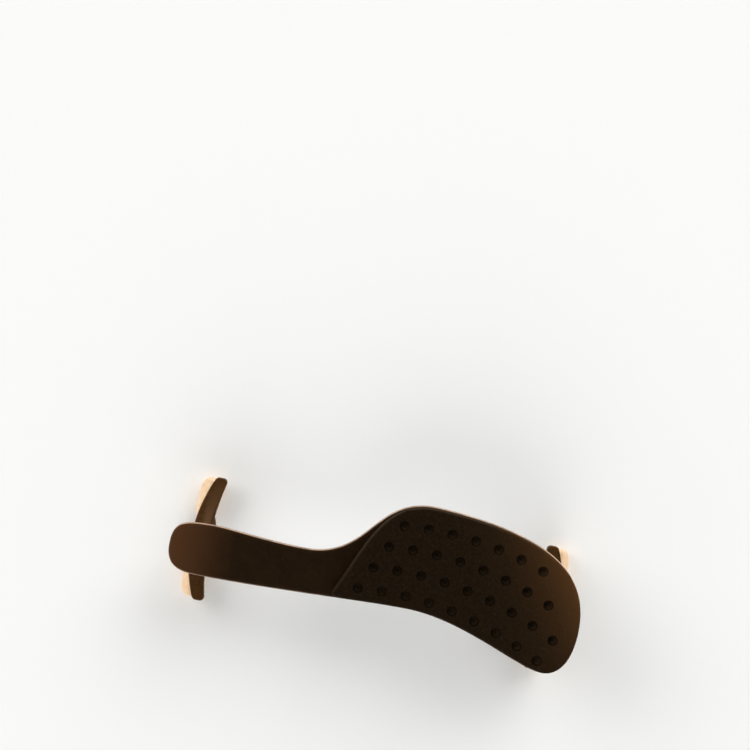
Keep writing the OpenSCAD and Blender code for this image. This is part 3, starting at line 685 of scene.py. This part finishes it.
def make_stem():
    low, high = (c.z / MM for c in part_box("shoulder_stem"))
    clip_low, clip_high = (c.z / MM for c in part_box("shoulder_clip"))
    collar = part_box("shoulder_washer")[1].z / MM
    collar_height, flat_half = 1.2, 2.45
    top = collar + collar_height
    stem = turned("threaded_stem", [
        (0, low), (2.2, low), (2.5, low + 0.3), (2.5, clip_low), (2, clip_low), (2, clip_high),
        (2.5, clip_high), (2.5, collar), (4.85, collar), (5, collar + 0.15), (5, top - 0.15),
        (4.85, top), (0, top)])
    rod = threaded("thread", radius=3, depth=0.55, pitch=1, low=top - 0.1, high=high, chamfer=0.2)
    with editing(rod):
        for way in (-1, 1):
            bpy.ops.mesh.select_all(action="SELECT")
            bpy.ops.mesh.bisect(plane_co=(0, way * flat_half * MM, 0), plane_no=(0, way, 0),
                                use_fill=True, clear_outer=True)
    join(stem, rod)
    outward(stem)
    smooth(stem)
    return stem


def make_wheel():
    low, high = (c.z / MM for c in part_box("shoulder_height_wheel"))
    wheel = turned("knurled_wheel", [
        (3.05, low + 0.35), (3.4, low), (4.6, low), (4.9, low + 0.35), (6.5, low + 0.35), (6.8, low),
        (7.9, low), (8.35, low + 0.3), (8.5, low + 0.7), (8.5, high - 0.7), (8.35, high - 0.3),
        (7.9, high), (6.8, high), (6.5, high - 0.35), (4.9, high - 0.35), (4.6, high), (3.4, high),
        (3.05, high - 0.35)], closed=True, steps=288)
    flute(wheel, rim=8.5, count=24, notch=0.7)
    smooth(wheel, 40)
    return wheel


def make_knob():
    low, high = (c.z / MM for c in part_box("shoulder_clamp_knob"))
    knob = turned("fluted_knob", [
        (0, low + 0.7), (2.9, low + 0.7), (3.6, low + 0.5), (4.2, low + 0.1), (4.6, low), (5.4, low),
        (6, low + 0.2), (6.4, low + 0.6), (6.5, low + 1), (6.5, high - 0.7), (6.4, high - 0.3), (6.1, high),
        (1.55, high), (1.55, low + 1.2), (0, low + 1.2)], steps=200)
    flute(knob, rim=6.5, count=10, notch=1.3)
    smooth(knob, 40)
    return knob


def make_stud():
    low, high = (c.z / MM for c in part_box("shoulder_clamp_stud"))
    stud = threaded("clamp_stud", radius=1.5, depth=0.28, pitch=0.5, low=low, high=high, chamfer=0.1)
    smooth(stud)
    return stud


def make_pin():
    half = (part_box("shoulder_hinge_pin")[1].y - foot_line) / MM
    height = sum(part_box("shoulder_hinge_pin"), Vector()).z / 2
    pin = turned("hinge_pin", [
        (0, -half), (1.0, -half), (1.4, -half + 0.15), (1.5, -half + 0.4), (1.5, half - 0.4),
        (1.4, half - 0.15), (1.0, half), (0, half)], steps=48)
    pin.matrix_world = Matrix.Translation((0, 0, height)) @ Matrix.Rotation(math.pi / 2, 4, "X")
    settle(pin)
    smooth(pin)
    return pin


def make_washer():
    low, high = (c.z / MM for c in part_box("shoulder_washer"))
    washer = turned("friction_washer", [
        (2.55, low + 0.08), (2.63, low), (4.9, low), (5, low + 0.1), (5, high - 0.1), (4.9, high),
        (2.63, high), (2.55, high - 0.08)], closed=True)
    smooth(washer)
    return washer


# Finishes

def tint(hex_code):
    """A colour written in sRGB, as the shader's linear numbers."""
    parts = [int(hex_code[i:i + 2], 16) / 255 for i in (1, 3, 5)]
    return [p / 12.92 if p <= 0.04045 else ((p + 0.055) / 1.055) ** 2.4 for p in parts] + [1.0]


def add(tree, kind, inputs=None, **settings):
    """A new node with its settings; each input takes a value or the socket that feeds it."""
    made = tree.nodes.new(kind)
    for name, value in settings.items():
        setattr(made, name, value)
    for socket, value in (inputs or {}).items():
        if isinstance(value, bpy.types.NodeSocket):
            tree.links.new(value, made.inputs[socket])
        else:
            made.inputs[socket].default_value = value
    return made


def finish(name):
    material = bpy.data.materials.new(name)
    material.use_nodes = True
    tree = material.node_tree
    tree.nodes.clear()
    return material, tree


def object_place(tree):
    return add(tree, "ShaderNodeTexCoord").outputs["Object"]


def marked(tree, name):
    """The number that mark() keeps for each vertex."""
    return add(tree, "ShaderNodeAttribute", attribute_name=name).outputs["Fac"]


def noise(tree, place, scale, detail, roughness=0.5, distortion=0.0):
    made = add(tree, "ShaderNodeTexNoise", {
        "Vector": place, "Scale": scale, "Detail": detail, "Roughness": roughness, "Distortion": distortion})
    return made.outputs[0]


def mapped(tree, value, low, high, to_low=0.0, to_high=1.0, kind="LINEAR"):
    """Stretches the values between low and high to another range, and holds its ends."""
    made = add(tree, "ShaderNodeMapRange", {
        "Value": value, "From Min": low, "From Max": high, "To Min": to_low, "To Max": to_high},
        interpolation_type=kind)
    return made.outputs[0]


def mixed(tree, share, first, second, kind="RGBA"):
    """Goes from the first colour to the second, or between numbers."""
    made = add(tree, "ShaderNodeMix", {"Factor": share, "A": first, "B": second}, data_type=kind)
    return made.outputs["Result"]


def figure(tree, operation, *values):
    return add(tree, "ShaderNodeMath", dict(enumerate(values)), operation=operation).outputs[0]


def relief(tree, height, strength, depth):
    """Fine bumps, their depth in millimetres."""
    made = add(tree, "ShaderNodeBump", {"Height": height, "Strength": strength, "Distance": depth * MM})
    return made.outputs[0]


def coat(tree, inputs):
    shader = add(tree, "ShaderNodeBsdfPrincipled", inputs)
    add(tree, "ShaderNodeOutputMaterial", {"Surface": shader.outputs[0]})


WARM_SHINE = tint("#d9b08c")


def moulded_nylon():
    """Matte black-brown bar: a fine mould grain, drawn coarse enough to show, soft blotches, a pale painted
    highlight along the upper edge, and painted glare that turns the chest end browner."""
    material, tree = finish("moulded_nylon")
    place = object_place(tree)
    blotch = noise(tree, place, 140, 4, roughness=0.6)
    grain = noise(tree, place, 1300, 2)
    along = add(tree, "ShaderNodeSeparateXYZ", {0: place}).outputs["X"]
    # Painted glare: the bar turns browner towards the chest end
    painted_glare = mapped(tree, along, -0.076, -0.122, to_high=0.9, kind="SMOOTHSTEP")
    patch = mapped(tree, mixed(tree, 0.55, blotch, grain, "FLOAT"), 0.36, 0.64)
    deep = mixed(tree, patch, tint("#150d05"), tint("#22160b"))
    brown = mixed(tree, painted_glare, deep, tint("#4d311d"))
    # Painted highlight: the rim mark, broken up by the blotches, turns the upper edge pale
    highlight_break_up = mapped(tree, blotch, 0.35, 0.6, 0.55, 1)
    pale = figure(tree, "MULTIPLY", marked(tree, "rim"), highlight_break_up)
    coat(tree, {
        "Base Color": mixed(tree, pale, brown, tint("#e6c2a6")),
        "Roughness": mapped(tree, grain, 0.3, 0.7, 0.52, 0.66),
        "Specular IOR Level": 0.12, "Specular Tint": WARM_SHINE, "Normal": relief(tree, grain, 0.3, 0.08)})
    return material


def foam_skin():
    """Dense black-brown foam: closed cells under a fine skin, drawn coarse enough to show, faint dust
    specks, painted light on the floors of the dimples, painted shade on the walls round them, a painted
    highlight on the slanted edge, and painted glare that turns the shoulder end browner."""
    material, tree = finish("foam_skin")
    place = object_place(tree)
    hollow = marked(tree, "hollow")
    cells = add(tree, "ShaderNodeTexVoronoi", {"Vector": place, "Scale": 750}).outputs["Distance"]
    skin = noise(tree, place, 600, 5, roughness=0.7)
    speck = mapped(tree, noise(tree, place, 900, 1), 0.66, 0.76, to_high=0.08)
    # Painted glare: the pad turns browner towards the shoulder end
    end = add(tree, "ShaderNodeVectorMath", {0: place, 1: (1, 0.66, 0)}, operation="DOT_PRODUCT")
    reach = mapped(tree, end.outputs["Value"], 0.033, 0.1226)
    painted_glare = figure(tree, "POWER", reach, 4.0)
    deep = mixed(tree, mapped(tree, skin, 0.34, 0.66), tint("#110b05"), tint("#1d140a"))
    brown = mixed(tree, painted_glare, deep, tint("#4d331b"))
    # Painted shade darkens the dimple walls; painted light lifts their floors, on top of the dust specks
    painted_wall_shade = figure(tree, "MULTIPLY", hollow, -0.42)
    dark = mixed(tree, painted_wall_shade, brown, tint("#030201"))
    dust_and_painted_light = figure(tree, "MULTIPLY_ADD", hollow, 0.36, speck)
    # Painted highlight on the slanted edge, from the rim mark, over the dust and the painted light
    pale = figure(tree, "MULTIPLY_ADD", marked(tree, "rim"), 0.16, dust_and_painted_light)
    height = figure(tree, "ADD", cells, skin)
    coat(tree, {
        "Base Color": mixed(tree, pale, dark, tint("#6f5a44")), "Roughness": 0.8,
        "Specular IOR Level": 0.1, "Specular Tint": WARM_SHINE, "Sheen Weight": 0.02,
        "Sheen Roughness": 0.35, "Sheen Tint": tint("#d8b48c"), "Normal": relief(tree, height, 0.35, 0.12)})
    return material


def satin_nylon():
    """Brown moulded feet: a satin skin with a fine grain, faint flow marks, and a painted highlight on the
    upper edges.
    """
    material, tree = finish("satin_nylon")
    place = object_place(tree)
    flow = noise(tree, place, 260, 4, distortion=1.5)
    grain = noise(tree, place, 1900, 2)
    brown = mixed(tree, mapped(tree, flow, 0.3, 0.7), tint("#3f2913"), tint("#4c3119"))
    # Painted highlight: the rim mark turns the fork's upper edges paler
    pale = figure(tree, "MULTIPLY", marked(tree, "rim"), 0.3)
    coat(tree, {
        "Base Color": mixed(tree, pale, brown, tint("#9a7a5a")),
        "Roughness": mapped(tree, grain, 0.3, 0.7, 0.36, 0.5),
        "Specular IOR Level": 0.25, "Specular Tint": WARM_SHINE, "Normal": relief(tree, grain, 0.2, 0.05)})
    return material


def natural_latex():
    """Pale beige rubber: light goes a little way in, with cloudy patches and a dull bloom of talc."""
    material, tree = finish("natural_latex")
    place = object_place(tree)
    cloud = noise(tree, place, 220, 4, roughness=0.6)
    bloom = noise(tree, place, 1100, 3)
    patch = mapped(tree, cloud, 0.3, 0.7)
    coat(tree, {
        "Base Color": mixed(tree, patch, tint("#dcb48c"), tint("#e8cba9")),
        "Roughness": mapped(tree, bloom, 0.3, 0.7, 0.42, 0.62), "Specular IOR Level": 0.35,
        "Subsurface Weight": 0.25, "Subsurface Radius": (1.0, 0.6, 0.4), "Subsurface Scale": 1.5 * MM,
        "Normal": relief(tree, bloom, 0.25, 0.06)})
    return material


def turned_metal(name, dark, light, low, high):
    """Lathe-turned metal: fine rings round the stem's axis, drawn half a millimetre apart so that they show,
    that make the shine and the tone go up and down."""
    material, tree = finish(name)
    place = object_place(tree)
    parts = add(tree, "ShaderNodeSeparateXYZ", {0: place}).outputs
    out = figure(tree, "SUBTRACT", figure(tree, "ABSOLUTE", parts["X"]), foot_x * MM)
    over = figure(tree, "SUBTRACT", parts["Y"], foot_line)
    spread = add(tree, "ShaderNodeCombineXYZ", {"X": out, "Y": over}).outputs[0]
    reach = add(tree, "ShaderNodeVectorMath", {0: spread}, operation="LENGTH").outputs["Value"]
    path = figure(tree, "ADD", reach, parts["Z"])
    rings = add(tree, "ShaderNodeTexNoise", {
        "W": path, "Scale": 2000, "Detail": 3}, noise_dimensions="1D").outputs[0]
    smear = noise(tree, place, 350, 3)
    level = mapped(tree, mixed(tree, 0.35, rings, smear, "FLOAT"), 0.3, 0.7)
    coat(tree, {
        "Base Color": mixed(tree, level, tint(dark), tint(light)), "Metallic": 1.0,
        "Roughness": mapped(tree, level, 0, 1, high, low), "Normal": relief(tree, rings, 0.12, 0.04)})
    return material


def extruded_aluminium():
    """Satin aluminium rail: long die lines that run the way it was drawn."""
    material, tree = finish("extruded_aluminium")
    place = object_place(tree)
    drawn_out = add(tree, "ShaderNodeMapping", {"Vector": place, "Scale": (12, 1500, 1500)}).outputs[0]
    lines = noise(tree, drawn_out, 1.0, 4)
    level = mapped(tree, lines, 0.3, 0.7)
    coat(tree, {
        "Base Color": mixed(tree, level, tint("#a3a5a8"), tint("#c6c8ca")), "Metallic": 1.0,
        "Roughness": mapped(tree, level, 0, 1, 0.46, 0.32), "Normal": relief(tree, lines, 0.2, 0.04)})
    return material


def floor_paper():
    """White studio paper with no shine."""
    material, tree = finish("floor_paper")
    shader = add(tree, "ShaderNodeBsdfDiffuse", {"Color": tint("#fafaf8")})
    add(tree, "ShaderNodeOutputMaterial", {"Surface": shader.outputs[0]})
    return material


FINISH = {
    "bar_nylon": moulded_nylon(),
    "pad_foam": foam_skin(),
    "foot_nylon": satin_nylon(),
    "latex": natural_latex(),
    "steel": turned_metal("turned_steel", "#85837f", "#a5a39e", 0.24, 0.38),
    "brass": turned_metal("turned_brass", "#86703f", "#9c8654", 0.3, 0.4),
    "aluminium": extruded_aluminium(),
}

# The whole rest, piece by piece

dress(make_bar(), "bar")
pad = dress(make_pad(), "pad")

flip_x = Matrix.Scale(-1, 4, (1, 0, 0))
flip_y = Matrix.Translation((0, 2 * foot_line, 0)) @ Matrix.Scale(-1, 4, (0, 1, 0))
sleeve, fork = make_sleeve(), make_fork()
PLACES = {"shoulder_neck_sleeve": (sleeve, Matrix()), "shoulder_tail_sleeve": (sleeve, flip_y),
          "chest_neck_sleeve": (sleeve, flip_x), "chest_tail_sleeve": (sleeve, flip_x @ flip_y),
          "shoulder_fork": (fork, Matrix()), "chest_fork": (fork, flip_x)}
for node, (model, place) in PLACES.items():
    copy = moved(model, node.replace("sleeve", "rubber_sleeve").replace("fork", "moulded_fork"), place)
    outward(copy)
    dress(copy, node)
bpy.data.objects.remove(sleeve)
bpy.data.objects.remove(fork)

TURNED = {"stem": make_stem, "height_wheel": make_wheel, "clamp_knob": make_knob, "clamp_stud": make_stud,
          "hinge_pin": make_pin, "washer": make_washer}
for part, make in TURNED.items():
    model = make()
    for side in SIDES:
        place = sum(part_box(f"{side}_{part}"), Vector()) / 2
        copy = moved(model, f"{side}_{model.name}", Matrix.Translation((place.x, place.y, 0)))
        dress(copy, f"{side}_{part}")
    bpy.data.objects.remove(model)

EASED = {"housing": ("folding_housing", 0.4), "carriage": ("sliding_carriage", 0.35),
         "rail": ("slotted_rail", 0.2), "rail_screws": ("countersunk_screws", 0.12),
         "slide_nut": ("sliding_nut", 0.2), "clip": ("spring_clip", 0.12)}
for part, (name, width) in EASED.items():
    for side in SIDES:
        piece = solid_copy(f"{side}_{part}", f"{side}_{name}")
        ease_edges(piece, width)
        dress(piece, f"{side}_{part}")

for side in SIDES:
    inserts = frame["nodes"][f"{side}_rail_inserts"]
    inserts.data.materials.clear()
    inserts.data.materials.append(FINISH["brass"])


# Stage, light and camera

# The camera looks straight down. FOCUS and ORIGIN_PIXEL are in pixels, and PIXELS_PER_M is the scale at the
# height BAR_PLANE. Each lamp has an azimuth in degrees and a strength.
IMAGE = 750
FOCUS = 2327.0
PIXELS_PER_M = 1770.0
LEAN = math.radians(11.6)
ORIGIN_PIXEL = (375.9, 575.0)
ORIGIN_Y = 1.4 * MM
BAR_PLANE = 0.043
LAMP_TILT, LAMP_SPREAD = math.radians(57), math.radians(45)
LAMPS = {65: 1.34, 155: 1.03, 280: 0.83}

scene = bpy.context.scene
scene.view_settings.view_transform = "Standard"
right = Vector((math.cos(LEAN), math.sin(LEAN), 0))
up = Vector((-math.sin(LEAN), math.cos(LEAN), 0))
over, down = (pixel - IMAGE / 2 for pixel in ORIGIN_PIXEL)
aim = Vector((0, foot_line + ORIGIN_Y, 0))
aim += up * down / PIXELS_PER_M - right * over / PIXELS_PER_M
camera = bpy.data.objects.new("camera", bpy.data.cameras.new("camera"))
camera.data.lens = FOCUS / IMAGE * camera.data.sensor_width
camera.data.clip_end = 20
camera.location = (aim.x, aim.y, BAR_PLANE + FOCUS / PIXELS_PER_M)
camera.rotation_euler = (0, 0, LEAN)
scene.collection.objects.link(camera)
scene.camera = camera

bpy.ops.object.select_all(action="DESELECT")
bpy.ops.mesh.primitive_plane_add(size=40)
floor = bpy.context.object
floor.name = "floor"
floor.data.materials.append(floor_paper())

# Dark overhead and bright low down, so that flat tops stay deep and rounded edges catch a line of light
world = bpy.data.worlds.new("studio")
scene.world = world
world.use_nodes = True
sky = world.node_tree
sky.nodes.clear()
way = add(sky, "ShaderNodeTexCoord")
height = add(sky, "ShaderNodeSeparateXYZ", {0: way.outputs["Generated"]})
level = mapped(sky, height.outputs["Z"], 0.05, 0.75, 2.26, 0.05, "SMOOTHSTEP")
glow = add(sky, "ShaderNodeBackground", {"Color": (1, 1, 1, 1), "Strength": level})
add(sky, "ShaderNodeOutputWorld", {"Surface": glow.outputs[0]})
for azimuth, strength in LAMPS.items():
    lamp = bpy.data.objects.new("soft_light", bpy.data.lights.new("soft_light", "SUN"))
    lamp.data.energy = strength
    lamp.data.angle = LAMP_SPREAD
    lamp.rotation_euler = (LAMP_TILT, 0, math.radians(azimuth + 90))
    scene.collection.objects.link(lamp)
